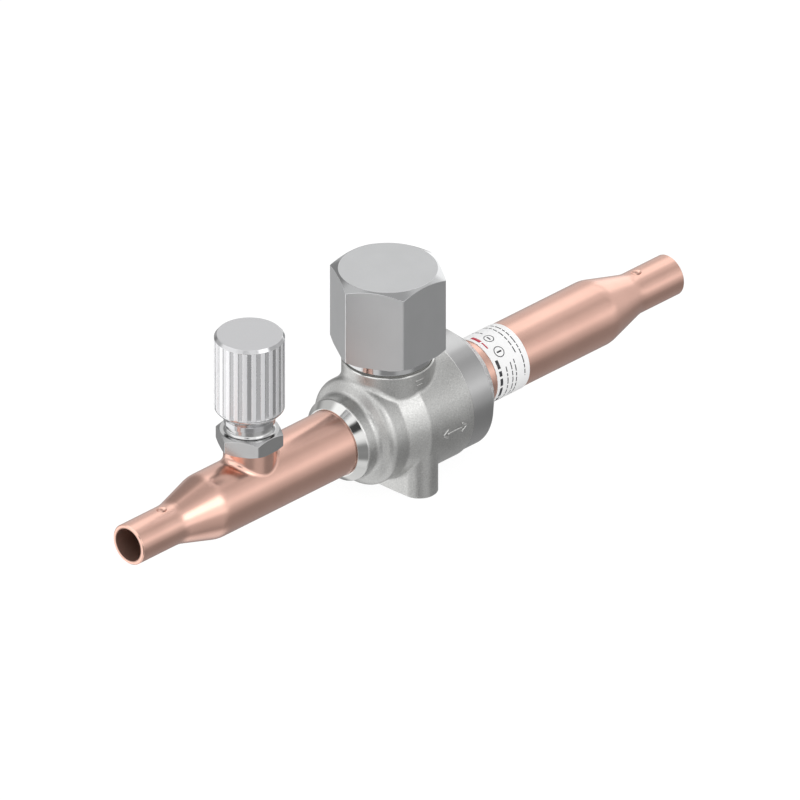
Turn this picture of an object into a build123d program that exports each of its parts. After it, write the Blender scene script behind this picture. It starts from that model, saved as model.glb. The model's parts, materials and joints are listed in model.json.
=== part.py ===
"""Shut-off ball valve for a copper refrigerant line, with an access port.

Millimetres, +Z up. The tubes run along X: the access port is on the -X side and the end adapter
on the +X side. The origin is on the foot's flat bottom, under the spindle's axis. Heights below
are measured from the tube axis, and every piece is lifted by axis_height when it is written.
"""

import os
from math import asin, degrees, hypot, radians, tan

from build123d import *

# Clearances, on the radius or between two faces
fit_gap = 0.05
seal_gap = 0.02
face_gap = 0.1

# Ball and the cavity round it
ball_r = 9.5
ball_bore_r = 5.0
slot_width = 4.0
slot_web = 1.2
cavity_side_room = 0.8
cavity_end_room = 0.7
passage_step = 0.5

# Copper tubes
tube_outer_r = 8.0
tube_wall = 1.0
stub_outer_r = 5.0
stub_wall = 1.15
stub_socket_step = 0.2
stub_socket_depth = 8.8
swage_bend_r = 9.0
left_end_x = -84.4
left_stub_x = -70.7
left_main_x = -59.7
right_end_x = 91.5
right_stub_x = 78.3
right_main_x = 66.8
tube_end_round = 0.25
tube_stop_wall = 1.8

# Stop dimples pressed into the stubs
dimple_from_end = 10.8
dimple_r = 1.5
dimple_depth = 0.7

# Left nose, collar and shoulder of the body, from the cavity's end outwards
shoulder_end_wall = 0.8
shoulder_wall = 2.95
shoulder_round = 2.2
shoulder_step = 1.9
collar_wall = 2.05
collar_length = 3.25
collar_round = 1.6
nose_length = 1.9
nose_tip_wall = 0.3
nose_round = 0.8

# Flare and barrel of the body
shoulder_length = 4.7
flare_length = 5.5
flare_round = 2.0
barrel_wall = 4.85
barrel_past_cavity = 2.9
barrel_edge_round = 0.4

# Spindle boss and threaded neck
boss_rise = 0.65
boss_ledge = 0.41
boss_fillet = 1.6
boss_edge = 0.25
neck_r = 8.0
neck_thread_depth = 0.7
neck_thread_pitch = 1.5
neck_turns = 5
neck_relief = 1.6
neck_lead = 0.8

# Foot with its tapped holes
foot_drop = 0.45
foot_column_r = 4.31
foot_inset = 0.58
foot_waist = 4.85
foot_fillet = 0.8
foot_edge = 0.2
foot_hole_r = 1.65
foot_hole_depth = 7.0
drill_point_angle = 59.0

# End adapter
adapter_step = 0.35
adapter_length = 6.4
adapter_bevel_length = 3.4
adapter_face_wall = 3.65
adapter_socket_depth = 7.5

# Seats and the O-rings behind them
seat_lip_x = 5.6
seat_ring_section_r = 0.7

# Spindle
spindle_r = 4.0
flange_width = 1.4
flange_thickness = 1.35
tang_half_width = 4.6
thrust_washer_thickness = 0.5
spindle_ring_section_r = 0.5
lower_groove_drop = 1.6
groove_spacing = 4.0
groove_width = 1.3
square_flats = 5.6
square_rise = 7.3
spindle_chamfer = 0.5
mark_width = 0.8
mark_depth = 0.6
quarter_turn = 90.0

# Stop plate, its pin and the retaining ring
plate_inset = 0.8
plate_thickness = 1.2
pin_r = 0.9
pin_circle_r = 5.9
pin_angle = 90.0
pin_seat_depth = 3.0
ring_thickness = 0.8
ring_width = 1.2
ring_groove_depth = 0.8
ring_mouth_angle = 60.0

# Seal cap and its gasket
cap_flats = 24.0
cap_hex_height = 20.36
cap_hex_rise = 2.95
cap_skirt_wall = 2.25
cap_top_inset = 0.48
cap_bottom_outset = 0.5
cap_roof = 3.1
gasket_thickness = 0.3
hex_chamfer_angle = 30.0

# Access port on the left tube
port_x = -45.0
branch_r = 6.1
branch_wall = 1.5
branch_rise = 2.9
branch_fillet = 1.6
stem_depth = 4.0
port_flats = 14.0
port_hex_height = 4.0
port_top_inset = 0.2
port_bottom_outset = 0.1
port_neck_r = 5.3
port_neck_height = 2.1
port_neck_round = 0.66
port_thread_r = 5.56
port_thread_depth = 0.6
port_thread_pitch = 1.27
port_turns = 7
port_lead = 0.6
port_flare_r = 3.6
port_flare_height = 2.0
port_inner_r = 2.3

# Access cap and the washer on its shelf
access_ring_wall = 0.54
access_ring_height = 1.6
access_ring_edge = 0.3
access_cone_height = 2.15
access_cone_foot_round = 0.5
access_cone_round = 1.2
access_cap_r = 8.2
access_side_height = 18.45
access_chamfer_height = 0.75
access_chamfer_width = 0.59
access_recess_r = 4.2
access_roof = 3.4
access_washer_thickness = 1.5
flute_count = 24
flute_gap = 0.45
flute_r = 0.75
flute_depth = 0.25

# Valve core in the access port
core_r = 2.55
core_mouth_depth = 2.89
core_height = 7.6
core_floor = 1.2
core_spring_bore_r = 1.5
core_pin_r = 0.6
core_pin_rise = 1.3
core_pin_round = 0.2
core_head_r = 1.3
core_head_height = 0.6
core_stroke = 1.2
core_seal_r = 1.9
core_seal_thickness = 1.2
core_rivet_r = 1.0
core_rivet_height = 0.6
spring_wire_r = 0.16
spring_turns = 6

# Label round the right tube
label_gap = 4.7
label_width = 10.4
label_thickness = 0.13

# Tubes and their sockets, worked out from the values above
tube_bore_r = tube_outer_r - tube_wall
stub_bore_r = stub_outer_r - stub_wall
stub_socket_r = stub_bore_r + stub_socket_step
socket_r = tube_outer_r + fit_gap

# The body along the tube axis
cavity_r = ball_r + cavity_side_room
cavity_end_x = ball_r + cavity_end_room
passage_r = ball_bore_r + passage_step
left_stop_x = -cavity_end_x - tube_stop_wall
shoulder_x = -cavity_end_x - shoulder_end_wall
shoulder_r = cavity_r + shoulder_wall
collar_end_x = shoulder_x - shoulder_step
collar_r = socket_r + collar_wall
nose_base_x = collar_end_x - collar_length
nose_tip_x = nose_base_x - nose_length
flare_start_x = shoulder_x + shoulder_length
flare_end_x = flare_start_x + flare_length
barrel_r = cavity_r + barrel_wall
barrel_end_x = cavity_end_x + barrel_past_cavity
adapter_r = barrel_r - adapter_step
adapter_edge_x = barrel_end_x + adapter_length
adapter_end_x = adapter_edge_x + adapter_bevel_length
adapter_face_r = socket_r + adapter_face_wall
right_stop_x = adapter_end_x - adapter_socket_depth
label_start_x = adapter_end_x + label_gap
label_end_x = label_start_x + label_width

# Height of the tube axis above the foot's flat bottom, and the foot's two columns
axis_height = barrel_r + foot_drop
foot_column_y = barrel_r - foot_inset - foot_column_r

# Boss, neck and cap, up the spindle's axis
cap_bore_r = neck_r + face_gap
cap_skirt_r = cap_bore_r + cap_skirt_wall
boss_r = cap_skirt_r + boss_ledge
boss_top = barrel_r + boss_rise
neck_root_r = neck_r - neck_thread_depth
neck_thread_start = boss_top + neck_relief
neck_top = neck_thread_start + neck_turns * neck_thread_pitch + neck_lead
gasket_top = boss_top + gasket_thickness
cap_hex_bottom = boss_top + cap_hex_rise
cap_top = cap_hex_bottom + cap_hex_height
cap_top_circle_r = cap_flats / 2 - cap_top_inset
cap_bottom_circle_r = cap_flats / 2 + cap_bottom_outset

# Ball, seats and spindle
seat_curve_r = ball_r + fit_gap
seat_outer_r = cavity_r - 2 * fit_gap
slot_floor = ball_bore_r + slot_web
spindle_bore_r = spindle_r + fit_gap
flange_r = spindle_r + flange_width
flange_bottom = ball_r + face_gap
flange_top = flange_bottom + flange_thickness
pocket_r = flange_r + face_gap
pocket_top = flange_top + thrust_washer_thickness + seal_gap
lower_groove_z = boss_top - lower_groove_drop
upper_groove_z = lower_groove_z + groove_spacing
plate_r = neck_r - plate_inset
plate_bottom = neck_top + face_gap
plate_top = plate_bottom + plate_thickness
spindle_top = neck_top + square_rise
ring_outer_r = spindle_r + ring_width
ring_groove_r = spindle_r - ring_groove_depth

# Access port, its core and its cap, up the port's axis
port_hex_bottom = tube_outer_r + branch_rise
port_hex_top = port_hex_bottom + port_hex_height
port_top_circle_r = port_flats / 2 - port_top_inset
port_bottom_circle_r = port_flats / 2 + port_bottom_outset
port_thread_start = port_hex_top + port_neck_height
port_thread_end = port_thread_start + port_turns * port_thread_pitch + port_lead
port_root_r = port_thread_r - port_thread_depth
port_top = port_thread_end + port_flare_height
core_bore_r = core_r + fit_gap
core_top = port_top - core_mouth_depth
core_floor_z = core_top - core_height
access_bore_r = port_thread_r + face_gap
access_ring_r = access_bore_r + access_ring_wall
access_ring_bottom = port_thread_start
access_ring_top = access_ring_bottom + access_ring_height
access_cone_top = access_ring_top + access_cone_height
access_side_top = access_cone_top + access_side_height
access_cap_top = access_side_top + access_chamfer_height
access_top_r = access_cap_r - access_chamfer_width
access_washer_bottom = port_top + face_gap
access_shelf_z = access_washer_bottom + access_washer_thickness + seal_gap
flute_start = access_cone_top + flute_gap


def outline(*corners):
    """A closed face from corners (a, b) or (a, b, radius), each rounded by its own radius."""
    points = [corner[:2] for corner in corners]
    rounds = [corner[2] if len(corner) > 2 else 0 for corner in corners]
    return make_face(FilletPolyline(*points, radius=rounds, close=True).edges())


def turned_x(*corners):
    """A solid of revolution about the tube axis, from corners (x, radius)."""
    return revolve(outline(*corners), Axis.X)


def turned_z(*corners):
    """A solid of revolution about the vertical axis, from corners (radius, height)."""
    return revolve(Plane.XZ * outline(*corners), Axis.Z)


def rod_z(radius, low, high):
    """An upright cylinder between two heights."""
    return Pos(0, 0, low) * extrude(Circle(radius), high - low)


def ring_section_z(section_r, inner_r, height):
    """An O-ring about the vertical axis, round in section, with its inner side at inner_r."""
    return Pos(0, 0, height) * Torus(inner_r + section_r, section_r)


def hexagon(flats, low, high, bottom_circle_r, top_circle_r):
    """A hexagonal prism with two corners on the X axis, its corners turned off at both ends."""
    beyond_r = flats
    slope = tan(radians(hex_chamfer_angle))
    prism = extrude(RegularPolygon(flats / 2, 6, major_radius=False), high - low)
    envelope = turned_z(
        (0, low),
        (bottom_circle_r, low),
        (beyond_r, low + (beyond_r - bottom_circle_r) * slope),
        (beyond_r, high - (beyond_r - top_circle_r) * slope),
        (top_circle_r, high),
        (0, high),
    )
    return Pos(0, 0, low) * prism & envelope


def thread_corners(root_r, crest_r, start, pitch, turns):
    """The corners (radius, height) up the side of a thread, drawn as rings: one crest a turn."""
    corners = [(root_r, start)]
    for turn in range(turns):
        low = start + turn * pitch
        corners.append((crest_r, low + 0.4 * pitch))
        corners.append((crest_r, low + 0.6 * pitch))
        corners.append((root_r, low + pitch))
    return corners


def on_upright_cylinder(edge, radius):
    """True for an edge that lies all along the upright cylinder of this radius."""
    places = [edge.position_at(step / 4) for step in range(5)]
    return all(abs(hypot(place.X, place.Y) - radius) < 0.01 for place in places)


def follows_upright_wall(edge, rim):
    """True for an edge that runs along the upright wall over this flat rim, but not for an upright edge."""
    places = [edge.position_at(step / 4) for step in range(5)]
    upright = hypot(places[0].X - places[-1].X, places[0].Y - places[-1].Y) < 0.01
    return not upright and all(rim.distance_to(Vertex(place.X, place.Y, 0)) < 0.02 for place in places)


def copper_tube(end_x, stub_x, main_x, stop_x):
    """A tube swaged down to a stub: its mouth sized as a socket, then a dimple above and below."""
    inwards = 1 if end_x < 0 else -1
    socket_x = end_x + inwards * stub_socket_depth
    tube = turned_x(
        (end_x, stub_socket_r),
        (end_x, stub_outer_r - tube_end_round),
        (end_x + inwards * tube_end_round, stub_outer_r),
        (stub_x, stub_outer_r, swage_bend_r),
        (main_x, tube_outer_r, swage_bend_r),
        (stop_x, tube_outer_r),
        (stop_x, tube_bore_r),
        (main_x, tube_bore_r, swage_bend_r),
        (stub_x, stub_bore_r, swage_bend_r),
        (socket_x, stub_bore_r),
        (socket_x, stub_socket_r),
    )
    dimple_x = end_x + inwards * dimple_from_end
    for side in (1, -1):
        punch_z = side * (stub_outer_r + dimple_r - dimple_depth)
        bump = Pos(dimple_x, 0, punch_z) * Sphere(dimple_r + stub_wall)
        bump &= Pos(dimple_x, 0, 0) * Rot(0, 90, 0) * Cylinder(stub_outer_r - stub_wall / 2, 6 * dimple_r)
        tube += bump
        tube -= Pos(dimple_x, 0, punch_z) * Sphere(dimple_r)
    return tube


def make_left_tube():
    """The left tube, with the collar pulled up from it for the access port's stem."""
    tube = copper_tube(left_end_x, left_stub_x, left_main_x, left_stop_x)
    branch = Pos(port_x, 0, 0) * (rod_z(branch_r, 0, port_hex_bottom) - rod_z(branch_r, 0, tube_bore_r / 2))
    bore = turned_x(
        (left_main_x, 0), (left_main_x, tube_bore_r), (left_stop_x, tube_bore_r), (left_stop_x, 0)
    )
    tube += branch - bore
    seam = [
        edge
        for edge in tube.edges()
        if on_upright_cylinder(Pos(-port_x, 0, 0) * edge, branch_r)
        and edge.center().Z < port_hex_bottom - face_gap
        and edge.center().Z > stub_outer_r
        and hypot(edge.position_at(0).Y, edge.position_at(0).Z) > tube_outer_r - face_gap
    ]
    tube = fillet(seam, branch_fillet)
    return tube - Pos(port_x, 0, 0) * rod_z(branch_r - branch_wall, 0, port_hex_bottom)


def make_right_tube():
    """The right tube, from the end adapter's socket to its stub."""
    return copper_tube(right_end_x, right_stub_x, right_main_x, right_stop_x)


def foot_outline():
    """The foot seen from above: two round columns along Y, joined by tangent sides that bow out."""
    bow = foot_waist - foot_column_r
    side_centre = (foot_column_y**2 - bow**2) / (2 * bow)
    share = (side_centre + foot_waist) / (side_centre + bow)
    tangent_x = side_centre * (share - 1)
    tangent_y = foot_column_y * share
    end_y = foot_column_y + foot_column_r
    left_side = ThreePointArc((-tangent_x, tangent_y), (-foot_waist, 0), (-tangent_x, -tangent_y))
    right_side = ThreePointArc((tangent_x, -tangent_y), (foot_waist, 0), (tangent_x, tangent_y))
    front_end = ThreePointArc((-tangent_x, -tangent_y), (0, -end_y), (tangent_x, -tangent_y))
    back_end = ThreePointArc((tangent_x, tangent_y), (0, end_y), (-tangent_x, tangent_y))
    return make_face([side.edge() for side in (left_side, front_end, right_side, back_end)])


def make_valve_body():
    """The forging: nose, collar, flared barrel, boss, threaded neck and foot, then its bores."""
    body = turned_x(
        (nose_tip_x, 0),
        (nose_tip_x, socket_r + nose_tip_wall),
        (nose_base_x, collar_r, nose_round),
        (collar_end_x, collar_r, collar_round),
        (shoulder_x, shoulder_r, shoulder_round),
        (flare_start_x, shoulder_r, flare_round),
        (flare_end_x, barrel_r, flare_round),
        (barrel_end_x, barrel_r, barrel_edge_round),
        (barrel_end_x, 0),
    )
    boss_over = boss_top + 3 * boss_fillet
    body += rod_z(boss_r, 0, boss_over)
    seam = [edge for edge in body.edges() if on_upright_cylinder(edge, boss_r) and edge.center().Z < boss_top]
    body = fillet(seam, boss_fillet)
    body -= rod_z(2 * boss_r, boss_top, boss_over + boss_fillet)
    body = chamfer(body.faces().sort_by(Axis.Z)[-1].outer_wire().edges(), boss_edge)
    body += turned_z(
        (0, 0),
        (neck_root_r, 0),
        *thread_corners(neck_root_r, neck_r, neck_thread_start, neck_thread_pitch, neck_turns),
        (neck_root_r, neck_top),
        (0, neck_top),
    )
    foot = extrude(foot_outline(), axis_height)
    foot = chamfer(foot.faces().sort_by(Axis.Z)[0].edges(), foot_edge)
    body += Pos(0, 0, -axis_height) * foot
    body -= turned_x(
        (nose_tip_x - 1, 0),
        (nose_tip_x - 1, socket_r),
        (left_stop_x, socket_r),
        (left_stop_x, passage_r),
        (-cavity_end_x, passage_r),
        (-cavity_end_x, cavity_r),
        (barrel_end_x + 1, cavity_r),
        (barrel_end_x + 1, 0),
    )
    body -= turned_z(
        (0, 0),
        (pocket_r, 0),
        (pocket_r, pocket_top),
        (spindle_bore_r, pocket_top),
        (spindle_bore_r, neck_top + 1),
        (0, neck_top + 1),
    )
    pin_hole = rod_z(pin_r, neck_top - pin_seat_depth, neck_top + 1)
    body -= Rot(0, 0, pin_angle) * Pos(pin_circle_r, 0, 0) * pin_hole
    drill_tip = foot_hole_r / tan(radians(drill_point_angle))
    hole = turned_z(
        (0, -axis_height),
        (foot_hole_r, -axis_height),
        (foot_hole_r, -axis_height + foot_hole_depth),
        (0, -axis_height + foot_hole_depth + drill_tip),
    )
    for side in (1, -1):
        body -= Pos(0, side * foot_column_y, 0) * hole
    rim = foot_outline().faces()[0].outer_wire()
    seam = [
        edge
        for edge in body.edges()
        if follows_upright_wall(edge, rim) and edge.center().Z > foot_edge - axis_height
    ]
    return fillet(seam, foot_fillet)


def make_end_adapter():
    """The turned closure: a spigot that holds the right seat, and the right tube's socket."""
    spigot_r = cavity_r - fit_gap
    return turned_x(
        (cavity_end_x, passage_r),
        (cavity_end_x, spigot_r),
        (barrel_end_x, spigot_r),
        (barrel_end_x, adapter_r),
        (adapter_edge_x, adapter_r),
        (adapter_end_x, adapter_face_r),
        (adapter_end_x, socket_r),
        (right_stop_x, socket_r),
        (right_stop_x, passage_r),
    )


def make_seat(side):
    """A seat ring: a cupped face round the ball and a corner cut for the O-ring behind it."""
    back_x = cavity_end_x - seal_gap
    ring_cut = 2 * seat_ring_section_r + seal_gap
    section = outline(
        (seat_lip_x, passage_r),
        (seat_lip_x, seat_outer_r),
        (back_x - ring_cut, seat_outer_r),
        (back_x - ring_cut, cavity_r - ring_cut - seal_gap),
        (back_x, cavity_r - ring_cut - seal_gap),
        (back_x, passage_r),
    )
    seat = revolve(section - Circle(seat_curve_r), Axis.X)
    return seat if side > 0 else mirror(seat, Plane.YZ)


def make_seat_ring(side):
    """The O-ring in the seat's outer back corner."""
    middle_x = cavity_end_x - seal_gap - seat_ring_section_r
    middle_r = cavity_r - seal_gap - seat_ring_section_r
    return Pos(side * middle_x, 0, 0) * Rot(0, 90, 0) * Torus(middle_r, seat_ring_section_r)


def make_ball():
    """The ball, bored along X at rest, with the tang's slot across its top along Y."""
    ball = Sphere(ball_r) - Rot(0, 90, 0) * Cylinder(ball_bore_r, 2 * ball_r)
    slot = Pos(0, 0, slot_floor) * extrude(Rectangle(slot_width, 2 * ball_r), ball_r)
    return ball - slot


def make_spindle():
    """The spindle, from its tang up through the flange and two ring grooves to the drive square."""
    groove_r = spindle_bore_r - 2 * spindle_ring_section_r - 2 * seal_gap
    half_groove = groove_width / 2
    shaft = turned_z(
        (0, flange_bottom),
        (flange_r, flange_bottom),
        (flange_r, flange_top),
        (spindle_r, flange_top),
        (spindle_r, lower_groove_z - half_groove),
        (groove_r, lower_groove_z - half_groove),
        (groove_r, lower_groove_z + half_groove),
        (spindle_r, lower_groove_z + half_groove),
        (spindle_r, upper_groove_z - half_groove),
        (groove_r, upper_groove_z - half_groove),
        (groove_r, upper_groove_z + half_groove),
        (spindle_r, upper_groove_z + half_groove),
        (spindle_r, plate_bottom),
        (spindle_r, plate_top + seal_gap),
        (ring_groove_r, plate_top + seal_gap),
        (ring_groove_r, plate_top + 3 * seal_gap + ring_thickness),
        (spindle_r, plate_top + 3 * seal_gap + ring_thickness),
        (spindle_r, spindle_top - spindle_chamfer),
        (spindle_r - spindle_chamfer, spindle_top),
        (0, spindle_top),
    )
    square_height = spindle_top - plate_bottom
    square = extrude(Rectangle(square_flats, square_flats), square_height)
    beyond = extrude(Rectangle(4 * spindle_r, 4 * spindle_r), square_height)
    shaft -= Pos(0, 0, plate_bottom) * (beyond - square)
    tang_height = flange_bottom - slot_floor - seal_gap
    tang = extrude(Rectangle(slot_width - 2 * fit_gap, 2 * tang_half_width), tang_height)
    mark = extrude(Rectangle(2 * spindle_r, mark_width), mark_depth)
    shaft += Pos(0, 0, slot_floor + seal_gap) * tang
    return shaft - Pos(0, 0, spindle_top - mark_depth) * mark


def make_thrust_washer():
    """The flat washer on the spindle's flange."""
    low = flange_top + seal_gap / 2
    return rod_z(flange_r, low, low + thrust_washer_thickness) - rod_z(spindle_bore_r, low, neck_top)


def make_spindle_ring(height):
    """An O-ring in one of the spindle's grooves."""
    section_r = spindle_ring_section_r
    return ring_section_z(section_r, spindle_bore_r - 2 * section_r - seal_gap, height)


def make_stop_plate():
    """The plate on the spindle's square: its notch lets the pin pass a quarter turn."""
    plate = rod_z(plate_r, plate_bottom, plate_top)
    hole = Rectangle(square_flats + 2 * fit_gap, square_flats + 2 * fit_gap)
    plate -= Pos(0, 0, plate_bottom) * extrude(hole, plate_thickness)
    notch_r = pin_circle_r - pin_r - face_gap
    spare = degrees(asin((pin_r + face_gap) / pin_circle_r))
    sweep = quarter_turn + 2 * spare
    reach = 2 * plate_r
    sector = revolve(
        Plane.XZ * outline((notch_r, plate_bottom), (reach, plate_bottom), (reach, plate_top), (notch_r, plate_top)),
        Axis.Z,
        sweep,
    )
    return plate - Rot(0, 0, pin_angle - spare) * sector


def make_stop_pin():
    """The pin in the neck's top face."""
    pin = rod_z(pin_r, neck_top - pin_seat_depth, plate_top)
    return Rot(0, 0, pin_angle) * Pos(pin_circle_r, 0, 0) * pin


def make_retaining_ring():
    """The open ring in the spindle's groove, over the stop plate."""
    low = plate_top + 2 * seal_gap
    ring = rod_z(ring_outer_r, low, low + ring_thickness)
    ring -= rod_z(ring_groove_r + seal_gap, low, low + ring_thickness)
    reach = 2 * ring_outer_r
    high = low + ring_thickness
    mouth = revolve(
        Plane.XZ * outline((0, low), (reach, low), (reach, high), (0, high)), Axis.Z, ring_mouth_angle
    )
    return ring - Rot(0, 0, -ring_mouth_angle / 2) * mouth


def make_seal_cap():
    """The hexagonal cap over the spindle: a turned skirt below, and the bore for the neck."""
    cap = hexagon(cap_flats, cap_hex_bottom, cap_top, cap_bottom_circle_r, cap_top_circle_r)
    cap += rod_z(cap_skirt_r, gasket_top, cap_hex_bottom)
    return cap - rod_z(cap_bore_r, gasket_top, cap_top - cap_roof)


def make_cap_gasket():
    """The flat gasket between the cap's skirt and the boss."""
    return rod_z(cap_skirt_r - face_gap, boss_top, gasket_top) - rod_z(cap_bore_r, boss_top, gasket_top)


def make_access_valve_body():
    """The access port: a stem in the tube's collar, a hexagon and a threaded, flared mouth."""
    stem_r = branch_r - branch_wall - fit_gap
    port = turned_z(
        (port_inner_r, port_hex_bottom - stem_depth),
        (stem_r, port_hex_bottom - stem_depth),
        (stem_r, port_hex_bottom),
        (branch_r, port_hex_bottom),
        (branch_r, port_hex_top),
        (port_neck_r, port_hex_top, port_neck_round),
        (port_neck_r, port_thread_start),
        *thread_corners(port_root_r, port_thread_r, port_thread_start, port_thread_pitch, port_turns),
        (port_root_r, port_thread_end),
        (port_flare_r, port_top),
        (core_bore_r, port_top),
        (core_bore_r, core_floor_z),
        (port_inner_r, core_floor_z),
    )
    hexagon_ring = hexagon(port_flats, port_hex_bottom, port_hex_top, port_bottom_circle_r, port_top_circle_r)
    hexagon_ring -= rod_z(stem_r, port_hex_bottom, port_hex_top)
    return Pos(port_x, 0, 0) * (port + hexagon_ring)


def make_core_body():
    """The valve core's body: a floor that the poppet closes on, and the bore for the spring."""
    core = turned_z(
        (core_pin_r + fit_gap, core_floor_z),
        (core_r, core_floor_z),
        (core_r, core_top),
        (core_spring_bore_r, core_top),
        (core_spring_bore_r, core_floor_z + core_floor),
        (core_pin_r + fit_gap, core_floor_z + core_floor),
    )
    return Pos(port_x, 0, 0) * core


def make_core_pin():
    """The core's pin: a tip to press, a head over the spring and a rivet under the poppet."""
    rivet_low = core_floor_z - core_seal_thickness - core_rivet_height
    head_high = core_top - core_stroke / 2
    pin = turned_z(
        (0, rivet_low),
        (core_rivet_r, rivet_low),
        (core_rivet_r, rivet_low + core_rivet_height),
        (core_pin_r, rivet_low + core_rivet_height),
        (core_pin_r, head_high - core_head_height),
        (core_head_r, head_high - core_head_height),
        (core_head_r, head_high),
        (core_pin_r, head_high),
        (core_pin_r, core_top + core_pin_rise, core_pin_round),
        (0, core_top + core_pin_rise),
    )
    return Pos(port_x, 0, 0) * pin


def make_core_seal():
    """The poppet seal that closes the core's floor from below."""
    low = core_floor_z - core_seal_thickness
    seal = rod_z(core_seal_r, low, core_floor_z - seal_gap) - rod_z(core_pin_r + seal_gap, low, core_floor_z)
    return Pos(port_x, 0, 0) * seal


def make_core_spring():
    """The coil spring between the core's floor and the pin's head."""
    coil_r = (core_pin_r + core_spring_bore_r) / 2
    low = core_floor_z + core_floor + spring_wire_r + seal_gap
    high = core_top - core_stroke / 2 - core_head_height - spring_wire_r - seal_gap
    path = Helix((high - low) / spring_turns, high - low, coil_r, center=(0, 0, low))
    wire = Plane(path @ 0, z_dir=path % 0) * Circle(spring_wire_r)
    return Pos(port_x, 0, 0) * sweep(wire, path)


def make_access_cap():
    """The fluted cap: ring, cone and side turned in one, then the flutes, the bore and its recess."""
    cap = turned_z(
        (0, access_ring_bottom),
        (access_ring_r, access_ring_bottom, access_ring_edge),
        (access_ring_r, access_ring_top, access_cone_foot_round),
        (access_cap_r, access_cone_top, access_cone_round),
        (access_cap_r, access_side_top),
        (access_top_r, access_cap_top),
        (0, access_cap_top),
    )
    flute_centre_r = access_cap_r + flute_r - flute_depth
    flute = Pos(flute_centre_r, 0, 0) * rod_z(flute_r, flute_start, access_side_top)
    cap -= [Rot(0, 0, 360 / flute_count * step) * flute for step in range(flute_count)]
    cap -= turned_z(
        (0, access_ring_bottom),
        (access_bore_r, access_ring_bottom),
        (access_bore_r, access_shelf_z),
        (access_recess_r, access_shelf_z),
        (access_recess_r, access_cap_top - access_roof),
        (0, access_cap_top - access_roof),
    )
    return Pos(port_x, 0, 0) * cap


def make_access_cap_washer():
    """The sealing washer on the shelf inside the access cap."""
    high = access_washer_bottom + access_washer_thickness
    washer = rod_z(access_bore_r - seal_gap, access_washer_bottom, high)
    washer -= rod_z(core_bore_r, access_washer_bottom, high)
    return Pos(port_x, 0, 0) * washer


def make_label_band():
    """The label's film, once round the right tube."""
    inner_r = tube_outer_r + seal_gap
    return turned_x(
        (label_start_x, inner_r),
        (label_start_x, inner_r + label_thickness),
        (label_end_x, inner_r + label_thickness),
        (label_end_x, inner_r),
    )


parts = {
    "valve_body": make_valve_body(),
    "end_adapter": make_end_adapter(),
    "left_tube": make_left_tube(),
    "right_tube": make_right_tube(),
    "label_band": make_label_band(),
    "seat_left": make_seat(-1),
    "seat_right": make_seat(1),
    "seat_ring_left": make_seat_ring(-1),
    "seat_ring_right": make_seat_ring(1),
    "ball": make_ball(),
    "spindle": make_spindle(),
    "thrust_washer": make_thrust_washer(),
    "spindle_o_ring_lower": make_spindle_ring(lower_groove_z),
    "spindle_o_ring_upper": make_spindle_ring(upper_groove_z),
    "stop_plate": make_stop_plate(),
    "stop_pin": make_stop_pin(),
    "retaining_ring": make_retaining_ring(),
    "seal_cap": make_seal_cap(),
    "cap_gasket": make_cap_gasket(),
    "access_valve_body": make_access_valve_body(),
    "access_cap": make_access_cap(),
    "access_cap_washer": make_access_cap_washer(),
    "core_body": make_core_body(),
    "core_pin": make_core_pin(),
    "core_seal": make_core_seal(),
    "core_spring": make_core_spring(),
}

os.makedirs("parts", exist_ok=True)
for node, solid in parts.items():
    export_step(Pos(0, 0, axis_height) * solid, f"parts/{node}.step")
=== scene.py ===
"""Looks of a shut-off ball valve with an access port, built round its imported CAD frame.

The tubes run along X, the access port stands on the -X side, and the origin is on the foot's flat
bottom under the spindle's axis. New pieces are worked out in millimetres and written in metres.
"""

import itertools
import json
import math

import bmesh
import bpy
import numpy as np
from mathutils import Matrix, Vector


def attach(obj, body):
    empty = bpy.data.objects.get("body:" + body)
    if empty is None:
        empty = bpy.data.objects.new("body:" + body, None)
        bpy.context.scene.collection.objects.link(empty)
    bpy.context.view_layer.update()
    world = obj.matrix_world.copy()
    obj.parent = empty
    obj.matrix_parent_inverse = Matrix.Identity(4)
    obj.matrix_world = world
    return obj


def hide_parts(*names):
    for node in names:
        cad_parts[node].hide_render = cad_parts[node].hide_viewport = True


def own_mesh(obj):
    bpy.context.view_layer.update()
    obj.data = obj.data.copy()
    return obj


MM = 0.001

# Sizes in mm that more than one function uses
TUBE_AXIS_Z = 15.6
PORT_X = -45.0
CAP_TOP = 54.71
CAP_TOP_R = 11.52
CAP_BOTTOM = 34.35
FLUTED_R = 8.2
FLUTED_RIM = 54.8
LABEL_R = 8.15
INK_RISE = 0.012
LINE_SUNK = 0.03

FLUTES = 24
CHAMFER_SLOPE = math.tan(math.radians(30))

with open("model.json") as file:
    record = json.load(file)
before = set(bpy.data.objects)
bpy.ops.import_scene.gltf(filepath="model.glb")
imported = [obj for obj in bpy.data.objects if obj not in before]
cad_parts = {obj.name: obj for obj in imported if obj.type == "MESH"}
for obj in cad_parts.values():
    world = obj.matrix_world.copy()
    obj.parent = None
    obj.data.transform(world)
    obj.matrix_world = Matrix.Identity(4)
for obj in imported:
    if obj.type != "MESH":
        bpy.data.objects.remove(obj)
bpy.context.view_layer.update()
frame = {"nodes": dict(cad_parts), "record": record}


# Shader helpers

def join(tree, value, socket):
    """Sets a socket to a number or a colour, or links it to another node's socket."""
    if isinstance(value, bpy.types.NodeSocket):
        tree.links.new(value, socket)
    elif value is not None:
        socket.default_value = value


def math_node(tree, operation, first, second=None, third=None):
    """A math node whose operands are numbers or sockets."""
    node = tree.nodes.new("ShaderNodeMath")
    node.operation = operation
    for place, value in enumerate((first, second, third)):
        join(tree, value, node.inputs[place])
    return node.outputs[0]


def add_masked(tree, value, mask, amount):
    """A value plus an amount times a mask."""
    return math_node(tree, "MULTIPLY_ADD", mask, amount, value)


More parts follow.
